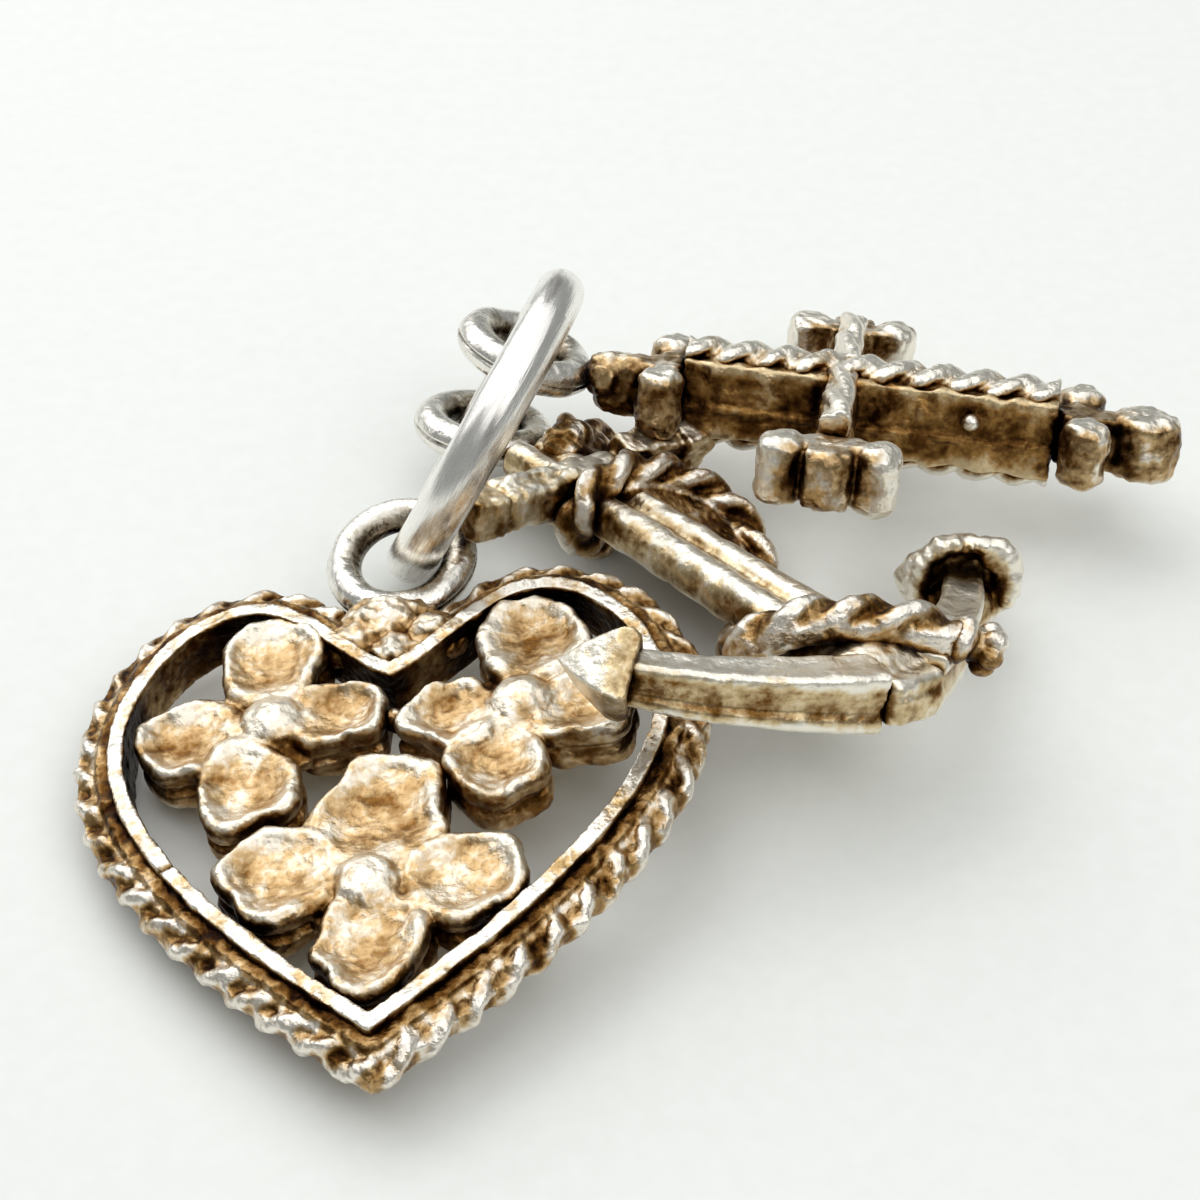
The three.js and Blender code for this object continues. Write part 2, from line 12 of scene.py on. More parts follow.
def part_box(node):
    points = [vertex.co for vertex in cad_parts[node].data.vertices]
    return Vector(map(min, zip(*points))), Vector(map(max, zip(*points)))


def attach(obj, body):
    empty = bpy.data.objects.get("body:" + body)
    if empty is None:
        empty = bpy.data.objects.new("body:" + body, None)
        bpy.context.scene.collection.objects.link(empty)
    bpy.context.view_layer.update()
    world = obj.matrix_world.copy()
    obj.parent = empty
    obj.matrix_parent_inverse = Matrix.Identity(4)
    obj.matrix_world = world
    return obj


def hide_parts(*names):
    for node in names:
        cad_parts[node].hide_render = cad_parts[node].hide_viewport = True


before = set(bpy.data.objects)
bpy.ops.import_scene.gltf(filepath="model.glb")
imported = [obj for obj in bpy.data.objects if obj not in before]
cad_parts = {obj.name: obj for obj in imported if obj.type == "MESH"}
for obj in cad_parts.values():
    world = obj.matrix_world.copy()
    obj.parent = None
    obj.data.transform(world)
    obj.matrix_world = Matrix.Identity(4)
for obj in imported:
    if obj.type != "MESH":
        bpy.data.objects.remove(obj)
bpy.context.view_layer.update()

# Table and light
# A sheet of matt white card, lit by a large soft window behind and to the left of the charm and by the
# pale room in front of it. The camera looks down on the table as a person holding a phone does.
MM = 0.001
LENS = 70.22  # in millimetres, on a 36 mm sensor
CAMERA_PLACE = (2.561, -41.498, 31.949)  # in millimetres from the middle of the jump ring, as the next is
CAMERA_AIM = (2.561, -1.646, -3.726)
TABLE_HALF_WIDTH = 0.6
ROOM_LIGHT = 0.48


def from_hex(code):
    """An sRGB colour as linear red, green, blue and alpha."""
    parts = [int(code[i : i + 2], 16) / 255 for i in (0, 2, 4)]
    return [c / 12.92 if c <= 0.04045 else ((c + 0.055) / 1.055) ** 2.4 for c in parts] + [1.0]


def add_node(material, kind, settings=None, **inputs):
    """Adds one node. Its inputs are plain values, or outputs of other nodes to link from."""
    node = material.node_tree.nodes.new(kind)
    for name, value in (settings or {}).items():
        setattr(node, name, value)
    for name, value in inputs.items():
        key = name.replace("_", " ")
        socket = node.inputs[key] if key in node.inputs else node.inputs[int(name[1:])]
        if isinstance(value, bpy.types.NodeSocket):
            material.node_tree.links.new(value, socket)
        else:
            socket.default_value = value
    return node


def new_material(name):
    material = bpy.data.materials.new(name)
    material.use_nodes = True
    material.node_tree.nodes.clear()
    return material


def coated(material, **inputs):
    """Gives a material its surface shader."""
    shader = add_node(material, "ShaderNodeBsdfPrincipled", None, **inputs)
    add_node(material, "ShaderNodeOutputMaterial", None, Surface=shader.outputs[0])


def blended(material, factor, low, high):
    """A colour that goes from low to high with the factor."""
    mix = add_node(material, "ShaderNodeMix", {"data_type": "RGBA"}, Factor=factor)
    mix.inputs[6].default_value = from_hex(low)
    mix.inputs[7].default_value = from_hex(high)
    return mix.outputs[2]


white_card = new_material("matt_white_card")
grain = add_node(white_card, "ShaderNodeTexCoord").outputs["Object"]
fibres = add_node(white_card, "ShaderNodeTexNoise", Vector=grain, Scale=1 / (0.5 * MM), Detail=3.0)
tone = blended(white_card, fibres.outputs[0], "ECEEEA", "F3F5F2")
coated(white_card, Base_Color=tone, Roughness=0.85, IOR=1.45)

table = bmesh.new()
bmesh.ops.create_grid(table, x_segments=4, y_segments=4, size=TABLE_HALF_WIDTH)
table_mesh = bpy.data.meshes.new("table_top")
table.to_mesh(table_mesh)
table.free()
table_top = bpy.data.objects.new("table_top", table_mesh)
table_mesh.materials.append(white_card)
bpy.context.collection.objects.link(table_top)

ring_low, ring_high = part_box("jump_ring")
ring_centre = (ring_low + ring_high) / 2
camera = bpy.data.objects.new("camera", bpy.data.cameras.new("camera"))
camera.data.sensor_width = 36
camera.data.lens = LENS
camera.data.clip_start = 1 * MM
camera.location = ring_centre + Vector(CAMERA_PLACE) * MM
towards = ring_centre + Vector(CAMERA_AIM) * MM - camera.location
camera.rotation_euler = towards.to_track_quat("-Z", "Y").to_euler()
bpy.context.collection.objects.link(camera)
bpy.context.scene.camera = camera

LAMPS = [  # name, place in mm, size in mm, watts
    ("window", (-70, 75, 95), 150, 0.095),
    ("room_light", (55, -60, 80), 60, 0.016),
    ("ceiling", (10, 5, 130), 240, 0.158),
]
for name, place, size, watts in LAMPS:
    lamp = bpy.data.lights.new(name, "AREA")
    lamp.energy = watts
    lamp.size = size * MM
    holder = bpy.data.objects.new(name, lamp)
    holder.location = Vector(place) * MM
    holder.rotation_euler = (-holder.location).to_track_quat("-Z", "Y").to_euler()
    bpy.context.collection.objects.link(holder)

room = bpy.data.worlds.new("pale_room")
room.use_nodes = True
room.node_tree.nodes["Background"].inputs["Color"].default_value = from_hex("C9CCCB")
room.node_tree.nodes["Background"].inputs["Strength"].default_value = ROOM_LIGHT
bpy.context.scene.world = room
bpy.context.scene.view_settings.view_transform = "Standard"

# Jump ring
# One turn of round silver wire with its ends soldered shut. Wear against the bails has polished long
# narrow flats into it, so it is the brightest piece, with grey streaks along the wire that are partly dulled
# silver and partly painted dark reflections.
RING_RADIUS = 3.39
RING_WIRE = 1.08
RING_YAW = -16.1
RING_LEAN = 115.2


def place_by(node, middle, turn):
    """From a charm's own millimetres to the part's metres, with middle at the middle of that CAD node."""
    low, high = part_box(node)
    there = Matrix.Translation((low + high) / 2)
    return there @ turn @ Matrix.Scale(MM, 4) @ Matrix.Translation(-Vector(middle))


def set_down(name, form, place, finish, body, slot, *nodes):
    """Makes a form in millimetres a finished piece in its place, standing for the named CAD nodes."""
    bmesh.ops.transform(form, matrix=place, verts=form.verts)
    mesh = bpy.data.meshes.new(name)
    form.to_mesh(mesh)
    form.free()
    mesh.shade_smooth()
    mesh.materials.append(finish)
    piece = bpy.data.objects.new(name, mesh)
    bpy.context.collection.objects.link(piece)
    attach(piece, body)
    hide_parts(*nodes)


def hoop(half_width, half_length, wire, steps, sides):
    """A closed loop of round wire in the plane of X and Y."""
    form = bmesh.new()
    made = bmesh.ops.create_circle(form, segments=sides, radius=wire / 2)
    bmesh.ops.rotate(form, verts=made["verts"], matrix=Matrix.Rotation(math.pi / 2, 3, "X"))
    bmesh.ops.translate(form, verts=made["verts"], vec=(half_width, 0, 0))
    bmesh.ops.spin(
        form, geom=form.edges[:], cent=(0, 0, 0), axis=(0, 0, 1), angle=2 * math.pi, steps=steps,
        use_merge=True,
    )
    bmesh.ops.remove_doubles(form, verts=form.verts, dist=1e-4)
    bmesh.ops.recalc_face_normals(form, faces=form.faces)
    for vert in form.verts:  # an oval loop keeps its wire round
        angle = math.atan2(vert.co.y, vert.co.x)
        vert.co.y += (half_length - half_width) * math.sin(angle)
    return form


# Polished sterling silver: nearly white, mirror-like along the flats, greyer in streaks that are partly
# dulled silver and partly painted dark reflections
ring_silver = new_material("polished_sterling_silver")
around = add_node(ring_silver, "ShaderNodeUVMap", {"uv_map": "along_the_wire"}).outputs[0]
drawn_out = add_node(ring_silver, "ShaderNodeMapping", None, Vector=around, Scale=(0.3, 2.4, 1))
streaks = add_node(ring_silver, "ShaderNodeTexNoise", Vector=drawn_out.outputs[0], Scale=1.0, Detail=5.0)
fine_lines = add_node(ring_silver, "ShaderNodeMapping", None, Vector=around, Scale=(2.5, 26, 1))
scratches = add_node(ring_silver, "ShaderNodeTexNoise", Vector=fine_lines.outputs[0], Scale=1.0, Detail=4.0)
# The grey streaks in the base colour are partly dulled silver and partly painted dark reflections
dull = add_node(
    ring_silver, "ShaderNodeMapRange", None, Value=streaks.outputs[0], From_Min=0.56, From_Max=0.78
)
shade = blended(ring_silver, dull.outputs[0], "F6F3EE", "A49B95")
gloss = add_node(
    ring_silver, "ShaderNodeMapRange", None, Value=scratches.outputs[0], To_Min=0.12, To_Max=0.4
)
lines = add_node(
    ring_silver, "ShaderNodeBump", None, Height=scratches.outputs[0], Strength=0.25, Distance=0.015 * MM
)
flats = add_node(
    ring_silver, "ShaderNodeBump", None, Height=streaks.outputs[0], Strength=0.5, Distance=0.1 * MM,
    Normal=lines.outputs[0],
)
coated(
    ring_silver, Base_Color=shade, Metallic=1.0, Roughness=gloss.outputs[0], Normal=flats.outputs[0]
)

ring = hoop(RING_RADIUS, RING_RADIUS, RING_WIRE, steps=240, sides=48)
lengthways = ring.loops.layers.uv.new("along_the_wire")
for face in ring.faces:  # both directions in millimetres, with no step where the angles wrap round
    middle = face.calc_center_median()
    home = math.atan2(middle.y, middle.x)
    home_side = math.atan2(middle.z, math.hypot(middle.x, middle.y) - RING_RADIUS)
    for loop in face.loops:
        spot = loop.vert.co
        angle = math.atan2(spot.y, spot.x)
        side = math.atan2(spot.z, math.hypot(spot.x, spot.y) - RING_RADIUS)
        angle = home + (angle - home + math.pi) % (2 * math.pi) - math.pi
        side = home_side + (side - home_side + math.pi) % (2 * math.pi) - math.pi
        loop[lengthways].uv = (angle * RING_RADIUS, side * RING_WIRE / 2)
leaning = Matrix.Rotation(math.radians(RING_YAW), 4, "Z") @ Matrix.Rotation(math.radians(RING_LEAN), 4, "Y")
set_down(
    "soldered_jump_ring", ring, place_by("jump_ring", (0, 0, 0), leaning), ring_silver, "ring",
    "bright_silver", "jump_ring",
)

# Heart rim
# A raised heart-shaped band of cast silver. Its flat top has worn to bare silver, its walls are brown with
# old sulphide and darkened further by painted shade where the border and flowers close in, and it has a
# hairline break low on the left.
HEART_BAIL_MIDDLE = (0, 6.3, 0)
HEART_TURN = (1.22, 1.97, -6.16)  # degrees of yaw, pitch and roll
HEART_DEPTH = 1.2
RIM_WIDTH = 0.4
RIM_WORN_HALF = 0.17  # half the band's width once its edges are worn
RIM_BREAK = (-4.35, -2.55)
BREAK_SLOPE = 0.4
BREAK_REACH = 0.5
BREAK_HALF_WIDTH = 0.05
BREAK_LEVEL = 0.72  # share of the band's depth that is left there
OPEN_AND_UNSHADED_SHARE = 0.62  # how much each of these four bares the silver; the first also makes painted shade where things close in
RUB_SHARE = 0.36
CLOUD_SHARE = 1.05
PIT_SHARE = 0.45
FILM_LEVEL = 0.795
FILM_STOPS = (0.24, 0.45, 0.66, 0.86)  # deep, brown, warm and bare
HALF_HEART = [
    [(0, 2.39), (0.8, 2.79), (1.94, 4.57), (3.04, 4.57)],
    [(3.04, 4.57), (4.49, 4.57), (5.6, 2.77), (5.6, 1.07)],
    [(5.6, 1.07), (5.6, -1.43), (3.1, -4.07), (0, -6.47)],
]


def turn_of(yaw, pitch, roll):
    turns = ((yaw, "Z"), (pitch, "X"), (roll, "Y"))
    first, second, third = (Matrix.Rotation(math.radians(angle), 4, axis) for angle, axis in turns)
    return first @ second @ third


def tarnished_silver(name, bare, warm, brown, deep, hollow_and_shade_reach=0.8, clean=0.0, dull=0.3, pitting=0.7):
    """Cast silver under a warm film of sulphide: bare where it is rubbed, brown to black in the recesses. The
    occlusion darkening is partly that film and partly painted shade, as it darkens wherever another piece or
    the table comes near.
    """
    material = new_material(name)
    spot = add_node(material, "ShaderNodeTexCoord").outputs["Object"]
    # Ambient occlusion from every object: besides the film kept in recesses, it paints shade wherever a
    # neighbouring charm or the table comes within reach
    open_and_unshaded = add_node(
        material, "ShaderNodeAmbientOcclusion", {"samples": 8}, Distance=hollow_and_shade_reach * MM
    ).outputs["AO"]
    rubbed = add_node(material, "ShaderNodeAttribute", {"attribute_name": "rubbed"}).outputs["Fac"]
    clouds = add_node(material, "ShaderNodeTexNoise", None, Vector=spot, Scale=1 / (0.8 * MM), Detail=5.0)
    pits = add_node(material, "ShaderNodeTexNoise", None, Vector=spot, Scale=1 / (0.17 * MM), Detail=4.0)
    level = clean - FILM_LEVEL
    for part, share in (
        (open_and_unshaded, OPEN_AND_UNSHADED_SHARE), (rubbed, RUB_SHARE), (clouds.outputs[0], CLOUD_SHARE),
        (pits.outputs[0], PIT_SHARE),
    ):
        level = add_node(
            material, "ShaderNodeMath", {"operation": "MULTIPLY_ADD"}, _0=part, _1=share, _2=level
        ).outputs[0]
    film = add_node(material, "ShaderNodeValToRGB", None, Fac=level)
    stops = film.color_ramp.elements
    for at in FILM_STOPS[1:-1]:
        stops.new(at)
    for stop, at, colour in zip(stops, FILM_STOPS, (deep, brown, warm, bare)):
        stop.position = at
        stop.color = from_hex(colour)
    gloss = add_node(
        material, "ShaderNodeMapRange", None, Value=pits.outputs[0], To_Min=dull - 0.12, To_Max=dull + 0.16
    )
    pitted = add_node(
        material, "ShaderNodeBump", None, Height=pits.outputs[0], Strength=pitting, Distance=0.06 * MM
    )
    uneven = add_node(
        material, "ShaderNodeBump", None, Height=clouds.outputs[0], Strength=0.6, Distance=0.2 * MM,
        Normal=pitted.outputs[0],
    )
    coated(
        material, Base_Color=film.outputs[0], Metallic=1.0, Roughness=gloss.outputs[0],
        Normal=uneven.outputs[0],
    )
    return material


def rub(form, share_at, walls=1.0):
    """Notes on each point how far it has been rubbed, from 0 in the hollows to 1 on the tops. Upright walls
    get only their share of it."""
    form.normal_update()
    layer = form.verts.layers.float.new("rubbed")
    for vert in form.verts:
        upright = min(max(1.5 - 1.8 * abs(vert.normal.z), 0.0), 1.0)
        vert[layer] = min(max(share_at(vert.co), 0.0), 1.0) * (1 - upright * (1 - walls))
    return form


def by_height(low, high):
    """Rubbed on the front and the back, from the low level up to the high one."""
    return lambda spot: (abs(spot.z) - low) / (high - low)


def cast(form, grain=0.05, soften=3, dents=0.05, dent_size=0.45):
    """Melts overlapping forms into one skin, softens it and dents it, as worn cast silver is."""
    mesh = bpy.data.meshes.new("casting")
    form.to_mesh(mesh)
    form.free()
    lump = bpy.data.objects.new("casting", mesh)
    bpy.context.collection.objects.link(lump)
    skin = lump.modifiers.new("skin", "REMESH")
    skin.mode = "VOXEL"
    skin.voxel_size = grain
    worn = lump.modifiers.new("worn", "SMOOTH")
    worn.iterations = soften
    hammered = lump.modifiers.new("hammered", "DISPLACE")
    hammered.texture = bpy.data.textures.new("dents", "CLOUDS")
    hammered.texture.noise_scale = dent_size
    hammered.texture.noise_depth = 1
    hammered.strength = dents
    made = lump.evaluated_get(bpy.context.evaluated_depsgraph_get())
    result = bmesh.new()
    result.from_mesh(made.to_mesh())
    made.to_mesh_clear()
    bpy.data.objects.remove(lump)
    return result


def heart_edge(offset):
    """The heart's outline as a ring of points, moved outwards by offset, with its two corners kept sharp."""
    half = []
    for one, two, three, four in HALF_HEART:
        spots = interpolate_bezier(*(Vector(p).to_3d() for p in (one, two, three, four)), 28)
        for here, there in zip(spots, spots[1:]):
            along = (there - here).normalized()
            half.append(((here + there) / 2 + Vector((-along.y, along.x, 0)) * offset, along))
    kept = [(at, along) for at, along in half if at.x > 0.02]
    ends = [Vector((0, at.y - at.x * along.y / along.x, 0)) for at, along in (kept[0], kept[-1])]
    right = [ends[0], *(at for at, _ in kept), ends[1]]
    return right + [Vector((-p.x, p.y, 0)) for p in reversed(right[1:-1])]


def band(outer, inner, depth):
    """A flat band between two outlines, centred on the plane of X and Y."""
    form = bmesh.new()
    for outline in (outer, inner):
        ring_verts = [form.verts.new((p.x, p.y, -depth / 2)) for p in outline]
        for here, there in zip(ring_verts, ring_verts[1:] + ring_verts[:1]):
            form.edges.new((here, there))
    bmesh.ops.bridge_loops(form, edges=form.edges[:])
    walls = bmesh.ops.extrude_face_region(form, geom=form.faces[:])
    raised = [v for v in walls["geom"] if isinstance(v, bmesh.types.BMVert)]
    bmesh.ops.translate(form, verts=raised, vec=(0, 0, depth))
    bmesh.ops.recalc_face_normals(form, faces=form.faces)
    return form


heart_place = place_by("heart_bail", HEART_BAIL_MIDDLE, turn_of(*HEART_TURN))
rim_silver = tarnished_silver(
    "cast_silver_rubbed_bare", "F1ECE2", "C0A272", "64431D", "22120A", clean=-0.1
)
rim = band(heart_edge(RIM_WORN_HALF), heart_edge(-RIM_WORN_HALF), HEART_DEPTH)
rim = cast(rim, soften=4, dents=0.08)
for vert in rim.verts:  # a hairline groove right across the band
    across, up = vert.co.x - RIM_BREAK[0], vert.co.y - RIM_BREAK[1]
    if math.hypot(across, up) < BREAK_REACH and abs(up - BREAK_SLOPE * across) < BREAK_HALF_WIDTH:
        vert.co.z *= BREAK_LEVEL
rub(rim, by_height(0.4, 0.56), walls=0.2)
set_down("heart_raised_rim", rim, heart_place, rim_silver, "heart", "worn_silver", "heart_rim")

# Heart border
# Two strands of silver wire twisted together and laid round the rim on a bed of solder. The tops of the
# strands have worn to bare silver and the grooves between them are packed with brown tarnish, deepened by
# painted shade.
BORDER_WIDTH = 0.8
BORDER_ROPE = 0.74
LAY = 1.8
STRAND_RADIUS = 0.29  # a share of the rope's diameter, as the offset is
STRAND_OFFSET = 0.21
SADDLE_GAP = 1.25  # half the opening that the border leaves for the saddle
BED_INNER = 0.1
BED_STEPS = ((0.86, 0.34), (0.6, 0.56), (0.44, 0.84))  # how far out, how deep


def twisted(length, diameter, lay=LAY, steps_per_mm=9, sides=16):
    """Two strands twisted to the left round the X axis, from 0 to length."""
    form = bmesh.new()
    steps = round(length * steps_per_mm)
    for side in (1, -1):
        made = bmesh.ops.create_circle(form, cap_ends=True, segments=sides, radius=diameter * STRAND_RADIUS)
        bmesh.ops.rotate(form, verts=made["verts"], matrix=Matrix.Rotation(math.pi / 2, 3, "Y"))
        bmesh.ops.translate(form, verts=made["verts"], vec=(0, side * diameter * STRAND_OFFSET, 0))
        disc = [f for f in form.faces if all(v in made["verts"] for v in f.verts)]
        bmesh.ops.spin(
            form, geom=disc, cent=(0, 0, 0), axis=(1, 0, 0), dvec=(length / steps, 0, 0),
            angle=-2 * math.pi * length / lay, steps=steps,
        )
    bmesh.ops.recalc_face_normals(form, faces=form.faces)
    return form


def lay_along(form, route):
    """Bends a form that runs along X from 0 onto a route, a list of points close together."""
    reach = [0.0]
    for here, there in zip(route, route[1:]):
        reach.append(reach[-1] + (there - here).length)
    last = len(route) - 1
    along = [(route[min(i + 1, last)] - route[max(i - 1, 0)]).normalized() for i in range(last + 1)]
    sides = [Vector((0, 0, 1)).cross(along[0]).normalized()]
    for here, there in zip(along, along[1:]):
        sides.append(here.rotation_difference(there) @ sides[-1])
    for vert in form.verts:
        run = min(max(vert.co.x, 0.0), reach[-1])
        i = min(int(run / reach[-1] * last), last - 1)
        while reach[i] > run and i > 0:
            i -= 1
        while reach[i + 1] < run and i < last - 1:
            i += 1
        share = (run - reach[i]) / (reach[i + 1] - reach[i])
        side = sides[i].lerp(sides[i + 1], share).normalized()
        forward = along[i].lerp(along[i + 1], share).normalized()
        spot = route[i].lerp(route[i + 1], share) + forward * (vert.co.x - run)
        vert.co = spot + side * vert.co.y + forward.cross(side) * vert.co.z
    return form


def by_reach(route, low, high, beyond=9.0):
    """Rubbed where the strands stand furthest from the middle of the rope, but not beyond them."""
    tree = KDTree(len(route))
    for i, spot in enumerate(route):
        tree.insert(spot, i)
    tree.balance()

    def share_at(spot):
        reach = tree.find(spot)[2]
        return min((reach - low) / (high - low), (beyond - reach) / 0.06)

    return share_at


def length_of(route):
    return sum((there - here).length for here, there in zip(route, route[1:]))


def add_to(form, *others):
    """Puts other forms into one, as separate skins for the casting to melt together."""
    for other in others:
        mesh = bpy.data.meshes.new("part")
        other.to_mesh(mesh)
        other.free()
        form.from_mesh(mesh)
        bpy.data.meshes.remove(mesh)
    return form


rope_silver = tarnished_silver(
    "twisted_silver_wire_tarnished", "EFE8DC", "BA9968", "66441C", "200F08", clean=-0.06
)
border_line = heart_edge(RIM_WIDTH / 2 + BORDER_WIDTH - BORDER_ROPE / 2)
start = next(i for i, p in enumerate(border_line) if p.x > SADDLE_GAP)
border_line = [p for p in border_line[start:] if p.x > 0 or p.y < 3 or p.x < -SADDLE_GAP]
border = lay_along(twisted(length_of(border_line), BORDER_ROPE), border_line)
bed = [band(heart_edge(reach), heart_edge(BED_INNER), depth) for reach, depth in BED_STEPS]
border = cast(add_to(border, *bed), grain=0.05, soften=2, dents=0.12, dent_size=0.35)
from_rim = by_reach(heart_edge(RIM_WIDTH / 2), 0.24, 0.36)
from_rope = by_reach(border_line, 0.25, 0.36)
rub(border, lambda spot: min(from_rim(Vector((spot.x, spot.y, 0))), from_rope(spot)))
set_down(
    "heart_twisted_border", border, heart_place, rope_silver, "heart", "dark_silver", "heart_border_rope"
)

# Heart flowers
# Three cast flowers that fill the heart. Each has four dished petals with thick uneven lips round a
# domed middle, made as two faces back to back, so that a groove runs round the middle of its sides.
FLOWER_DEPTH = 1.1
RIGHT_FLOWER = (2.72, 1.33)
LEFT_FLOWER = (-2.45, 1.34)
FOOT_FLOWER = (-0.24, -3.11)
# Each petal is (degrees, distance from the flower's middle, radius)
RIGHT_PETALS = [(81, 1.9, 1.12), (189, 1.53, 0.95), (-11, 1.42, 1.0), (253, 1.74, 1.06)]
LEFT_PETALS = [(95, 1.83, 1.16), (192, 1.86, 1.04), (3, 1.5, 0.93), (259, 1.9, 1.08)]
FOOT_PETALS = [(84, 1.85, 1.38), (168, 1.88, 1.16), (-2, 2.06, 1.12), (274, 1.55, 1.14)]
PETAL_DISH = [  # share of the radius, height over the flower's top
    (0, -0.22), (0.25, -0.21), (0.48, -0.16), (0.66, -0.07), (0.78, 0.02), (0.87, 0.04), (0.95, -0.03),
    (1, -0.15),
]
OUTLINE_WAVE = 0.3
INNER_STRETCH = 0.34
LIP_WAVE = 0.24
INNER_SINK = 0.16


def turned(form, profile, steps=36):
    """Spins a profile of (radius, height) pairs about Z into the form, and gives its new vertices."""
    before = set(form.verts)
    line = [form.verts.new((radius, 0, height)) for radius, height in profile]
    edges = [form.edges.new(pair) for pair in zip(line, line[1:])]
    bmesh.ops.spin(
        form, geom=line + edges, cent=(0, 0, 0), axis=(0, 0, 1), angle=2 * math.pi, steps=steps,
        use_merge=True,
    )
    made = [v for v in form.verts if v not in before]
    bmesh.ops.remove_doubles(form, verts=made, dist=1e-4)
    return [v for v in form.verts if v.is_valid and v not in before]


def both_faces(front):
    """A profile for front and back alike, from one of the front alone."""
    return [(r, -h) for r, h in front] + [(r, h) for r, h in reversed(front)]


def petal(form, middle, inwards, radius):
    """A shallow smooth dish with an uneven outline. Its thick lip sinks away towards the flower's middle."""
    top = FLOWER_DEPTH / 2
    front = [(share * radius, top + rise) for share, rise in PETAL_DISH]
    front += [(0.98 * radius, 0.16), (0.86 * radius, 0.03)]  # and in to the groove
    for vert in turned(form, both_faces(front)):
        flat = vert.co.to_2d()
        way = flat.normalized() if flat.length > 0 else flat
        share = flat.length / radius
        inner = max(0, way.dot(inwards)) ** 1.5
        seed = Vector((*middle, 0)) * 3
        outline = noise.noise(Vector((1.4 * way.x, 1.4 * way.y, 0.5)) + seed)
        lip = noise.noise(Vector((2 * way.x, 2 * way.y, 4 + math.copysign(1, vert.co.z))) - seed)
        flat *= 1 + (OUTLINE_WAVE * outline + INNER_STRETCH * inner) * share
        height = vert.co.z * (1 + (LIP_WAVE * lip - INNER_SINK * inner) * share * share)
        vert.co = (middle.x + flat.x, middle.y + flat.y, height)


def flower(middle, petals):
    form = bmesh.new()
    top = FLOWER_DEPTH / 2
    for angle, distance, radius in petals:
        way = Vector((math.cos(math.radians(angle)), math.sin(math.radians(angle))))
        petal(form, Vector(middle) + way * distance, -way, radius)
    dome = [
        (0, top + 0.2), (0.24, top + 0.18), (0.46, top + 0.1), (0.63, top - 0.04), (0.72, top - 0.24),
        (0.98, top - 0.38), (1.2, 0.12),
    ]
    for vert in turned(form, both_faces(dome)):
        vert.co += Vector((*middle, 0))
    bmesh.ops.recalc_face_normals(form, faces=form.faces)
    form = cast(form, grain=0.045, soften=3, dents=0.07, dent_size=0.32)
    return rub(form, by_height(0.28, 0.66), walls=0.1)


petal_silver = tarnished_silver(
    "cast_silver_warm_tarnish", "F0E7D6", "CBAC7E", "80592A", "42280F", hollow_and_shade_reach=0.4, clean=-0.01,
    dull=0.36, pitting=0.6,
)
for name, middle, petals, node in [
    ("heart_upper_right_flower", RIGHT_FLOWER, RIGHT_PETALS, "heart_flower_right"),
    ("heart_upper_left_flower", LEFT_FLOWER, LEFT_PETALS, "heart_flower_left"),
    ("heart_lower_flower", FOOT_FLOWER, FOOT_PETALS, "heart_flower_foot"),
]:
    set_down(name, flower(middle, petals), heart_place, petal_silver, "heart", "worn_silver", node)

# Heart saddle and bail
# Rounded lumps and a neck fill the cleft and carry the bail, a loop of thick round wire. A seam from
# the mould runs round the outside of the loop. The bead sits between the two upper flowers.
HEART_BAIL = (1.29, 1.53, 0.77)  # half width and half length of the wire's line, and the wire
SADDLE_LUMPS = [  # middle, radii
    ((-0.86, 3.62, 0.1), (0.74, 0.6, 0.5)), ((0.82, 3.68, 0.08), (0.74, 0.6, 0.5)),
    ((0, 3.14, 0.12), (0.62, 0.66, 0.5)), ((-0.3, 4.15, 0.1), (0.95, 0.78, 0.56)),
    ((0.36, 4.35, 0), (0.6, 0.5, 0.4)),
]
SEAM_HALF_WIDTH = 0.035
SEAM_DEPTH = 0.14  # a share of the wire's radius, as the wear is
WEAR_DEPTH = 0.12


def ball(form, place, radii):
    made = bmesh.ops.create_icosphere(form, subdivisions=3, radius=1)
    bmesh.ops.scale(form, verts=made["verts"], vec=radii)
    bmesh.ops.translate(form, verts=made["verts"], vec=place)


def bail(half_width, half_length, wire, place):
    """A loop of thick wire with a fine mould seam round its outside."""
    form = hoop(half_width, half_length, wire, steps=130, sides=60)
    layer = form.verts.layers.float.new("rubbed")
    for vert in form.verts:
        angle = math.atan2(vert.co.y, vert.co.x)
        outwards = Vector((math.cos(angle), math.sin(angle), 0))
        middle = Vector((half_width * math.cos(angle), half_length * math.sin(angle), 0))
        from_middle = vert.co - middle
        out = from_middle.dot(outwards) / (wire / 2)
        vert[layer] = min(max(0.55 + 0.6 * out, 0), 1)
        if out > 0 and abs(from_middle.z) < SEAM_HALF_WIDTH:
            vert.co -= from_middle * SEAM_DEPTH
            vert[layer] = 0
        dent = noise.noise(vert.co * 1.3 + Vector((half_width, 0, 7)))
        vert.co -= from_middle * WEAR_DEPTH * max(0, dent)
    bmesh.ops.transform(form, matrix=place, verts=form.verts)
    return form


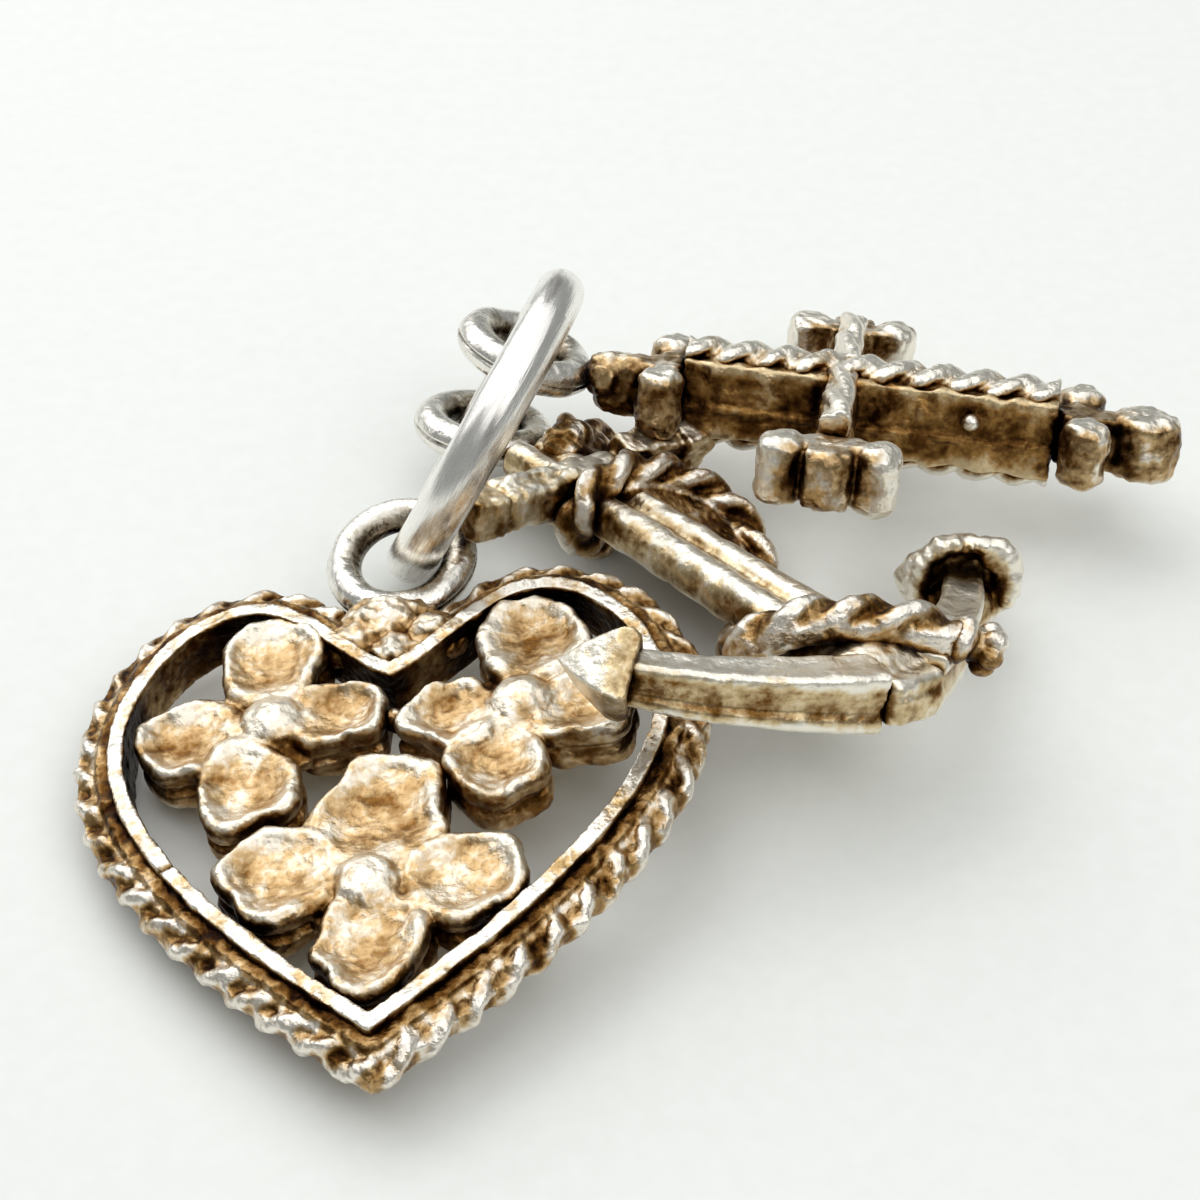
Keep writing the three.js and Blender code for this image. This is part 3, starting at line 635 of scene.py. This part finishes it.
bail_silver = tarnished_silver(
    "cast_silver_grey", "EFEBE3", "C6BEAE", "6A5C49", "1B130D", hollow_and_shade_reach=0.9, clean=0.12, dull=0.26,
    pitting=0.25,
)
saddle = bmesh.new()
for middle, radii in SADDLE_LUMPS:
    ball(saddle, middle, radii)
saddle = cast(saddle, grain=0.045, soften=2, dents=0.22, dent_size=0.3)
rub(saddle, by_height(0.34, 0.66))
set_down("heart_cleft_saddle", saddle, heart_place, petal_silver, "heart", "worn_silver", "heart_saddle")
bead = bmesh.new()
ball(bead, (0.1, 1.32, 0.12), (0.25, 0.25, 0.3))
bead = rub(cast(bead, grain=0.03, dents=0.05, dent_size=0.2), by_height(0.1, 0.4))
set_down(
    "heart_cleft_bead_of_solder", bead, heart_place, rope_silver, "heart", "worn_silver", "heart_cleft_bead"
)
loop = bail(*HEART_BAIL, Matrix.Translation(HEART_BAIL_MIDDLE))
set_down("heart_bail_loop", loop, heart_place, bail_silver, "heart", "bail_silver", "heart_bail")

# Anchor shank and stock
# The shank is a cast bar with two rounded ridges and a groove between them, wider towards the crown,
# where it ends in a flat toe. The stock is a square bar across its head with a block at each end.
ANCHOR_BAIL = (1.22, 1.27, 0.84)
ANCHOR_BAIL_MIDDLE = (0, 3.8, 0)
ANCHOR_TURN = (40.08, -6.13, 16.33)
SHANK_HEAD = 2.1
RIDGE_LENGTH = 12.0
RIDGE_RADII = (0.56, 0.44)  # at the crown and at the head
RIDGE_OFFSET = 0.4
RIDGE_SPREAD = 0.3
STOCK_BARS = [  # size, middle, rounding, degrees turned, degrees tilted
    ((6.4, 0.86, 0.84), (-0.18, 0, 0), 0.16, 0, 0), ((2.3, 1.1, 1.0), (-1.45, 0.04, 0.1), 0.25, 0, 0),
    ((1.9, 1.0, 1.5), (0, 0, 0), 0.22, 0, 0), ((3.2, 0.26, 0.3), (-0.7, 0.16, 0.56), 0.1, 0, 0),
    ((1.9, 0.8, 0.8), (1.9, 0.16, 0.7), 0.12, 0, 20), ((1.0, 1.0, 1.2), (3.05, 0.2, 0.62), 0.1, 6, 20),
    ((0.95, 0.98, 0.98), (-3.04, 0, 0), 0.16, 0, 0),
]
anchor_place = place_by("anchor_bail", ANCHOR_BAIL_MIDDLE, turn_of(*ANCHOR_TURN))


def bar(form, size, place, round_off, turn=0.0, tilt=0.0):
    """A rounded bar with its sides along X, Y and Z, then turned about Z and tilted about X."""
    block = bmesh.new()
    made = bmesh.ops.create_cube(block, size=1)
    bmesh.ops.scale(block, verts=made["verts"], vec=size)
    bmesh.ops.bevel(
        block, geom=block.edges[:], offset=round_off, offset_type="OFFSET", affect="EDGES", segments=3,
        profile=0.5, material=-1,
    )
    lie = Matrix.Rotation(math.radians(turn), 4, "Z") @ Matrix.Rotation(math.radians(tilt), 4, "X")
    bmesh.ops.transform(block, matrix=Matrix.Translation(place) @ lie, verts=block.verts)
    add_to(form, block)


shank_silver = tarnished_silver(
    "cast_silver_pale_tarnish", "F3EDDF", "D6C096", "7A5526", "22130A", clean=0.04, dull=0.34,
    pitting=0.35,
)
shank = bmesh.new()
for side in (1, -1):
    made = bmesh.ops.create_cone(
        shank, cap_ends=True, segments=40, radius1=RIDGE_RADII[0], radius2=RIDGE_RADII[1],
        depth=RIDGE_LENGTH,
    )
    bmesh.ops.scale(shank, verts=made["verts"], vec=(0.86, 1.05, 1))
    bmesh.ops.rotate(shank, verts=made["verts"], matrix=Matrix.Rotation(-math.pi / 2, 3, "X"))
    for vert in made["verts"]:
        down = 0.5 - vert.co.y / RIDGE_LENGTH
        vert.co.x += side * RIDGE_OFFSET * (1 + RIDGE_SPREAD * down)
        vert.co.y += SHANK_HEAD - RIDGE_LENGTH / 2
bar(shank, (1.1, 11.6, 0.6), (0, -4.0, 0), 0.08)
bar(shank, (1.5, 1.5, 1.0), (0, -9.7, 0), 0.2)
ball(shank, (0, -9.2, 0.02), (1.4, 0.95, 0.76))
bar(shank, (1.2, 0.5, 0.66), (0, -10.3, -0.12), 0.12)
shank = rub(cast(shank, soften=2, dents=0.08, dent_size=0.5), by_height(0.22, 0.46), walls=0.4)
set_down("anchor_grooved_shank", shank, anchor_place, shank_silver, "anchor", "worn_silver", "anchor_shank")

stock = bmesh.new()
for shape in STOCK_BARS:
    bar(stock, *shape)
stock = rub(cast(stock, soften=2, dents=0.16, dent_size=0.38), by_height(0.36, 0.7), walls=0.0)
set_down("anchor_cross_stock", stock, anchor_place, shank_silver, "anchor", "dark_silver", "anchor_stock")

# Anchor arms and flukes
# Each arm is a tapering beam with flanges above and below a sunk side, curving up to a fluke. The left
# fluke is a blunt four-sided point. The right one is rounder, with a thick lumpy lip round its hollow.
ARM_ROOT = (0.62, -9.8)
ARM_BEND = (3.7, -8.6)
ARM_END = (4.95, -6.95)
ARM_SECTION = [  # half of the beam's outline, as shares of its width and depth
    (0.5, 0.3), (0.5, 0.42), (0.4, 0.5), (0, 0.46), (-0.4, 0.5), (-0.5, 0.42), (-0.5, 0.26), (-0.38, 0.14),
]
ARM_WIDTH = (1.12, 0.84)
ARM_DEPTH = (1.4, 0.98)
ARM_STEPS = 24
BEND_STEPS = 40
FLUKE_LENGTH = 1.3
RIGHT_FLUKE = {  # a rough cast
    "corners": 12, "soften": 5, "dents": 0.18, "spread": 1.22, "rise": 1.08, "inside": 0.12, "lumps": 20,
}
LEFT_FLUKE = {  # a crisp one
    "corners": 4, "soften": 2, "dents": 0.03, "spread": 0.98, "rise": 1.04, "inside": 0.06, "lumps": 0,
}


def arm(mirror):
    root, bend, end = (Vector((mirror * x, y, 0)) for x, y in (ARM_ROOT, ARM_BEND, ARM_END))
    shares = [i / BEND_STEPS for i in range(BEND_STEPS + 1)]
    route = [root.lerp(bend, share).lerp(bend.lerp(end, share), share) for share in shares]
    form = bmesh.new()
    around = ARM_SECTION + [(-x, -y) for x, y in ARM_SECTION]
    ends = [form.faces.new([form.verts.new((0, x * ARM_WIDTH[0], y * ARM_DEPTH[0])) for x, y in around])]
    thinner = [(after / before) ** (1 / ARM_STEPS) for before, after in (ARM_WIDTH, ARM_DEPTH)]
    for _ in range(ARM_STEPS):
        made = bmesh.ops.extrude_face_region(form, geom=ends)["geom"]
        ends = [f for f in made if isinstance(f, bmesh.types.BMFace)]
        verts = [v for v in made if isinstance(v, bmesh.types.BMVert)]
        bmesh.ops.scale(form, verts=verts, vec=(1, *thinner))
        bmesh.ops.translate(form, verts=verts, vec=(length_of(route) / ARM_STEPS, 0, 0))
    bmesh.ops.recalc_face_normals(form, faces=form.faces)
    form = cast(lay_along(form, route), soften=3, dents=0.06, dent_size=0.6)
    on_top = by_height(0.28, 0.5)
    if mirror < 0:
        return rub(form, on_top)
    return rub(form, lambda spot: min(on_top(spot), (spot - end).length - 0.6))


def fluke(mirror, corners, soften, dents, spread, rise, inside, lumps):
    """A blunt point with a hollow back."""
    form = bmesh.new()
    outer = [
        (0, FLUKE_LENGTH), (0.52, 0.62 * FLUKE_LENGTH), (1.0, 0.14), (1.04, -0.1), (0.94, -0.3),
        (0.74, -0.3), (0.6, inside - 0.12), (0.45, inside - 0.04), (0, inside),
    ]
    turned(form, outer, steps=corners)
    bmesh.ops.rotate(form, verts=form.verts, matrix=Matrix.Rotation(-math.pi / 2, 3, "X"))
    bmesh.ops.scale(form, verts=form.verts, vec=(spread, 1, rise))
    for i in range(lumps):  # a thick lumpy lip
        angle = 2 * math.pi * i / lumps
        out = Vector((math.cos(angle), 0, math.sin(angle)))
        size = 0.3 + 0.3 * noise.noise(1.6 * out + Vector((0, 5, 0)))
        ball(form, (spread * out.x * 0.88, -0.14, rise * out.z * 0.88), (size, 0.28, size))
    if lumps:  # and the arm's root, which flows into the lower half of the hollow
        ball(form, (0.1, -0.16, -0.55), (0.8, 0.42, 0.62))
    bend, end = (Vector((mirror * x, y, 0)) for x, y in (ARM_BEND, ARM_END))
    way = (end - bend).normalized()
    to_way = Matrix.Rotation(math.atan2(way.y, way.x) - math.pi / 2, 3, "Z")
    bmesh.ops.rotate(form, verts=form.verts, matrix=to_way)
    if lumps:
        end += Vector((0, 0, 0.2)) - 0.3 * way
    bmesh.ops.translate(form, verts=form.verts, vec=end)
    bmesh.ops.recalc_face_normals(form, faces=form.faces)
    form = cast(form, grain=0.045, soften=soften, dents=dents, dent_size=0.45)

    def on_the_outside(spot):
        along = (spot - end).dot(way)
        on_the_lip = ((spot - end - way * along).length - 0.9) / 0.3 if lumps else 0
        return max(1.4 * along + 0.3, on_the_lip)

    return rub(form, on_the_outside)


for mirror, side, point in ((1, "right", RIGHT_FLUKE), (-1, "left", LEFT_FLUKE)):
    set_down(
        f"anchor_{side}_arm_beam", arm(mirror), anchor_place, shank_silver, "anchor", "worn_silver",
        f"anchor_arm_{side}",
    )
    set_down(
        f"anchor_{side}_fluke_point", fluke(mirror, **point), anchor_place, shank_silver, "anchor",
        "dark_silver", f"anchor_fluke_{side}",
    )

# Anchor rope and bail
# A twisted silver wire stands for the ship's rope. It leaves the head, turns behind the stock, crosses
# the shank, winds round it and ends over the crown in a knotted tassel.
ANCHOR_ROPE = 0.92
ROPE_POINTS = [
    (0.4, 1.52, 0.6), (1.02, 1.95, 0.5), (1.78, 2.1, 0.26), (2.28, 1.82, 0.0), (2.1, 1.1, -0.45),
    (1.45, 0.4, -1.05), (0.3, -0.3, -1.15), (-0.75, -0.75, -0.65), (-1.1, -1.0, -0.05), (-0.8, -1.0, 0.55),
    (-0.1, -0.9, 0.88), (0.55, -0.85, 0.86), (1.3, -0.92, 0.7), (2.1, -1.25, 0.42), (2.6, -1.8, 0.1),
    (2.7, -2.5, -0.2), (2.45, -3.3, -0.55), (1.7, -4.2, -0.85), (0.5, -5.1, -0.92), (-0.68, -6.0, -0.78),
    (-1.46, -6.74, -0.36), (-1.75, -7.22, 0.12), (-1.5, -7.7, 0.7), (-0.8, -8.25, 1.04), (0, -8.85, 1.12),
    (0.8, -9.5, 1.1), (1.3, -9.9, 0.92),
]
WEB_SPOTS = slice(140, 238, 5)  # places along the rope's route where silver ran in beneath it
MOUND_SPOTS = slice(0, 43, 5)
CROWN_SPOTS = slice(-66, None, 6)


def smooth_route(points, steps=14):
    """A smooth line through the points, with no overshoot where they lie close together."""
    spots = [Vector(p) for p in points]
    spots = [2 * spots[0] - spots[1], *spots, 2 * spots[-1] - spots[-2]]
    route = []
    for a, b, c, d in zip(spots, spots[1:], spots[2:], spots[3:]):
        gaps = [max((q - p).length ** 0.5, 1e-4) for p, q in ((a, b), (b, c), (c, d))]
        out_b = ((b - a) / gaps[0] - (c - a) / (gaps[0] + gaps[1]) + (c - b) / gaps[1]) * gaps[1]
        into_c = ((c - b) / gaps[1] - (d - b) / (gaps[1] + gaps[2]) + (d - c) / gaps[2]) * gaps[1]
        route += interpolate_bezier(b, b + out_b / 3, c - into_c / 3, c, steps)[:-1]
    return [*route, spots[-2]]


rope_route = smooth_route(ROPE_POINTS)
rope = lay_along(twisted(length_of(rope_route), ANCHOR_ROPE, lay=2.3), rope_route)
ball(rope, (1.25, 1.7, 0.15), (0.85, 0.6, 0.4))
for spot in rope_route[WEB_SPOTS]:  # it filled the bend between the rope and the shank
    root = Vector((0.5, spot.y - 0.35, 0.3 + 0.2 * (spot.y + 1)))
    for i in range(7):
        ball(rope, spot.lerp(root, 0.14 + i / 7) - Vector((0, 0, 0.34)), (0.42, 0.42, 0.32))
for spot in rope_route[MOUND_SPOTS]:  # and made a mound under the rope's first turn
    for i in range(5):
        ball(rope, spot.lerp(Vector((0.9, 0.8, 0.2)), i / 5) - Vector((0, 0, 0.18)), (0.38, 0.38, 0.34))
ball(rope, (0.85, 1.65, 0.56), (0.56, 0.46, 0.4))
ball(rope, (-0.8, -0.8, -0.25), (0.42, 0.4, 0.5))
for spot in rope_route[CROWN_SPOTS]:
    ball(rope, spot - Vector((0, 0, 0.2)), (0.46, 0.46, 0.42))
rope = cast(rope, grain=0.05, soften=3, dents=0.1, dent_size=0.4)
rub(rope, by_reach(rope_route, 0.3, 0.43, beyond=0.56))
set_down("anchor_wound_rope", rope, anchor_place, rope_silver, "anchor", "dark_silver", "anchor_rope")

tassel = bmesh.new()
ball(tassel, (0, 0, 0.16), (0.56, 0.54, 0.3))
ball(tassel, (0, 0, 0.48), (0.38, 0.38, 0.3))
for angle in range(0, 360, 60):
    way = Matrix.Rotation(math.radians(angle), 3, "Z") @ Vector((0.36, 0, 0.78))
    ball(tassel, way, (0.23, 0.23, 0.28))
ends_at, ends_before = rope_route[-1], rope_route[-3]
lie = (ends_at - ends_before).to_track_quat("Z", "Y").to_matrix().to_4x4()
bmesh.ops.transform(tassel, matrix=Matrix.Translation(ends_at) @ lie, verts=tassel.verts)
tassel = cast(tassel, grain=0.04, soften=1, dents=0.05, dent_size=0.25)
rub(tassel, by_height(0.6, 1.1))
set_down(
    "anchor_rope_end_tassel", tassel, anchor_place, rope_silver, "anchor", "dark_silver",
    "anchor_rope_tassel",
)
loop = bail(*ANCHOR_BAIL, Matrix.Translation(ANCHOR_BAIL_MIDDLE))
set_down("anchor_bail_loop", loop, anchor_place, bail_silver, "anchor", "bail_silver", "anchor_bail")

# Cross body
# A cast post and cross bar of square section. Their walls are dark brown and uneven, with the mould's
# ledge along the middle and a small bead of silver on the side of the post.
CROSS_BAIL = (1.25, 1.25, 0.88)
CROSS_BAIL_MIDDLE = (0, 7.469, 0.383)
CROSS_BAIL_LIFT = 18
CROSS_TURN = (80.25, 1.59, 17.13)
POST_WIDTH = 1.4
POST_DEPTH = 1.2
POST_TOP = 3.65
POST_FOOT = -4.95
POST_MIDDLE = (POST_TOP + POST_FOOT) / 2
ARM_SPAN = 3.62
SOLDER = 0.02  # between two castings
cross_place = place_by("cross_bail", CROSS_BAIL_MIDDLE, turn_of(*CROSS_TURN))

wall_silver = tarnished_silver(
    "cast_silver_dark_walls", "D8C39C", "A67F49", "5E3E1C", "1C0F07", hollow_and_shade_reach=1.0, clean=0.02,
    dull=0.34,
)
post = bmesh.new()
for level in (1, -1):
    bar(post, (POST_WIDTH, POST_TOP - POST_FOOT, 0.92), (0, POST_MIDDLE, level * 0.46), 0.07)
    bar(post, (2 * ARM_SPAN, 0.75, 0.62), (0, 0, level * 0.31), 0.06)
bar(post, (POST_WIDTH + 0.14, POST_TOP - POST_FOOT, 0.16), (0, POST_MIDDLE, -0.2), 0.05)
post = rub(cast(post, soften=2, dents=0.22, dent_size=0.5), by_height(0.6, 0.95))
set_down("cross_post_and_bar", post, cross_place, wall_silver, "cross", "dark_silver", "cross_body")
bead = bmesh.new()
ball(bead, (-0.94, -3.0, 0.35), (0.2, 0.2, 0.2))
bead = rub(cast(bead, grain=0.03, dents=0.03, dent_size=0.2), by_height(0.1, 0.3))
set_down("cross_bead_on_post", bead, cross_place, rim_silver, "cross", "worn_silver", "cross_side_bead")

# Cross ropes
# Twisted wire down the front and the back of the post, and thicker smoother wire out along the bars.
# They are bedded in solder and rubbed almost bare.
CROSS_ROPE = 0.7
BAR_ROPE = 0.72
POST_ROPE_SPREAD = 1.75
rubbed_rope = tarnished_silver(
    "twisted_silver_wire_rubbed", "F3EDE0", "CFB48A", "7A5324", "24130A", clean=0.08
)
for face, face_name in ((1, "front"), (-1, "back")):
    level = face * (POST_DEPTH / 2 + CROSS_ROPE / 2 + SOLDER)
    rope = twisted(POST_TOP - POST_FOOT, CROSS_ROPE)
    bmesh.ops.scale(rope, verts=rope.verts, vec=(1, POST_ROPE_SPREAD, 1))
    bmesh.ops.rotate(rope, verts=rope.verts, matrix=Matrix.Rotation(-math.pi / 2, 3, "Z"))
    bmesh.ops.translate(rope, verts=rope.verts, vec=(0, POST_TOP, level))
    rope = cast(rope, grain=0.05, soften=2, dents=0.1, dent_size=0.4)
    rub(rope, by_height(0.85, 1.2))
    set_down(
        f"cross_post_{face_name}_rope", rope, cross_place, rubbed_rope, "cross", "worn_silver",
        f"cross_post_rope_{face_name}",
    )
    for side, side_name in ((1, "right"), (-1, "left")):
        level = face * (POST_DEPTH / 2 + BAR_ROPE / 2)
        start = CROSS_ROPE / 2
        rope = twisted(ARM_SPAN - start, BAR_ROPE, lay=3.4)
        bmesh.ops.translate(rope, verts=rope.verts, vec=(start, 0, level))
        bed_middle = ((ARM_SPAN + start) / 2, 0, face * (POST_DEPTH / 2 + 0.14))
        bar(rope, (ARM_SPAN - start, 0.66, 0.5), bed_middle, 0.12)
        bmesh.ops.rotate(rope, verts=rope.verts, matrix=Matrix.Rotation(math.pi * (side < 0), 3, "Z"))
        rope = cast(rope, grain=0.05, soften=5, dents=0.12, dent_size=0.5)
        rub(rope, by_height(0.7, 1.1))
        set_down(
            f"cross_{side_name}_{face_name}_bar_wire", rope, cross_place, rubbed_rope, "cross", "worn_silver",
            f"cross_bar_rope_{side_name}_{face_name}",
        )

# Cross ends and bail
# Each end of the cross is a cluster of upright rounded lobes on a flat seat, with rubbed domes and dark
# sides. The head is a neck that carries the bail, and the foot ends in one large lobe.
LOBE_DEPTH = 1.6
LOBE_RADIUS = 0.55
LOBE_DOME = [  # share of the radius, height over the lobe's top
    (0, 0.02), (0.45, 0), (0.78, -0.08), (0.96, -0.22), (1, -0.4),
]
HEAD_TOP = 5.75


def column(form, x, y, wide=LOBE_RADIUS, long=LOBE_RADIUS, depth=LOBE_DEPTH):
    """An upright rounded lobe, domed at both ends."""
    front = [(share, depth / 2 + rise) for share, rise in LOBE_DOME] + [(0.97, 0)]
    for vert in turned(form, both_faces(front)):
        vert.co = (x + vert.co.x * wide, y + vert.co.y * long, vert.co.z)


lobe_silver = tarnished_silver(
    "cast_silver_rubbed_domes", "F1EBDE", "BFA276", "61421F", "1C0F08", clean=0.01, dull=0.3,
    pitting=0.4,
)
for turn, node in ((-math.pi / 2, "cross_end_right"), (math.pi / 2, "cross_end_left")):
    end = bmesh.new()
    start = ARM_SPAN + SOLDER
    bar(end, (2.1, 0.6, 1.4), (0, start + 0.42, 0), 0.1)
    bar(end, (1.02, 1.16, 1.36), (0, start + 0.6, 0), 0.1)
    column(end, -1.04, start + 0.62)
    column(end, 1.04, start + 0.62)
    column(end, 0, start + 1.0, 0.54, 0.46, 1.36)
    bmesh.ops.recalc_face_normals(end, faces=end.faces)
    bmesh.ops.rotate(end, verts=end.verts, matrix=Matrix.Rotation(turn, 3, "Z"))
    end = cast(end, dents=0.14, dent_size=0.42)
    rub(end, lambda spot: max((abs(spot.z) - 0.6) / 0.2, (abs(spot.y) - 0.75) / 0.5))
    set_down(node + "_lobes", end, cross_place, lobe_silver, "cross", "worn_silver", node)

head = bmesh.new()
start = POST_TOP + SOLDER
bar(head, (0.95, HEAD_TOP - start, 1.45), (0, (HEAD_TOP + start) / 2, -0.1), 0.32)
ball(head, (0, 5.5, 0.08), (0.66, 0.55, 0.55))
bar(head, (2.2, 0.66, 1.3), (0, start + 0.36, 0), 0.16)
column(head, -1.2, start + 0.42)
column(head, 1.2, start + 0.42)
bmesh.ops.recalc_face_normals(head, faces=head.faces)
head = rub(cast(head, dents=0.2, dent_size=0.4), by_height(0.5, 0.8))
set_down(
    "cross_head_neck_and_lobes", head, cross_place, lobe_silver, "cross", "bail_silver", "cross_end_head"
)

foot = bmesh.new()
start = POST_FOOT - SOLDER
bar(foot, (0.86, 2.0, 1.25), (0, start - 1.0, 0), 0.14)
bar(foot, (2.1, 0.7, 1.2), (0, start - 0.6, 0), 0.12)
column(foot, -1.13, start - 0.6)
column(foot, 1.13, start - 0.6)
column(foot, 0, start - 2.0, 0.72, 0.85)
bmesh.ops.recalc_face_normals(foot, faces=foot.faces)
foot = rub(cast(foot, dents=0.18, dent_size=0.45), by_height(0.55, 0.8))
set_down("cross_foot_lobes", foot, cross_place, lobe_silver, "cross", "worn_silver", "cross_end_foot")

lift = Matrix.Translation(CROSS_BAIL_MIDDLE) @ Matrix.Rotation(math.radians(CROSS_BAIL_LIFT), 4, "X")
loop = bail(*CROSS_BAIL, lift)
set_down("cross_bail_loop", loop, cross_place, bail_silver, "cross", "bail_silver", "cross_bail")
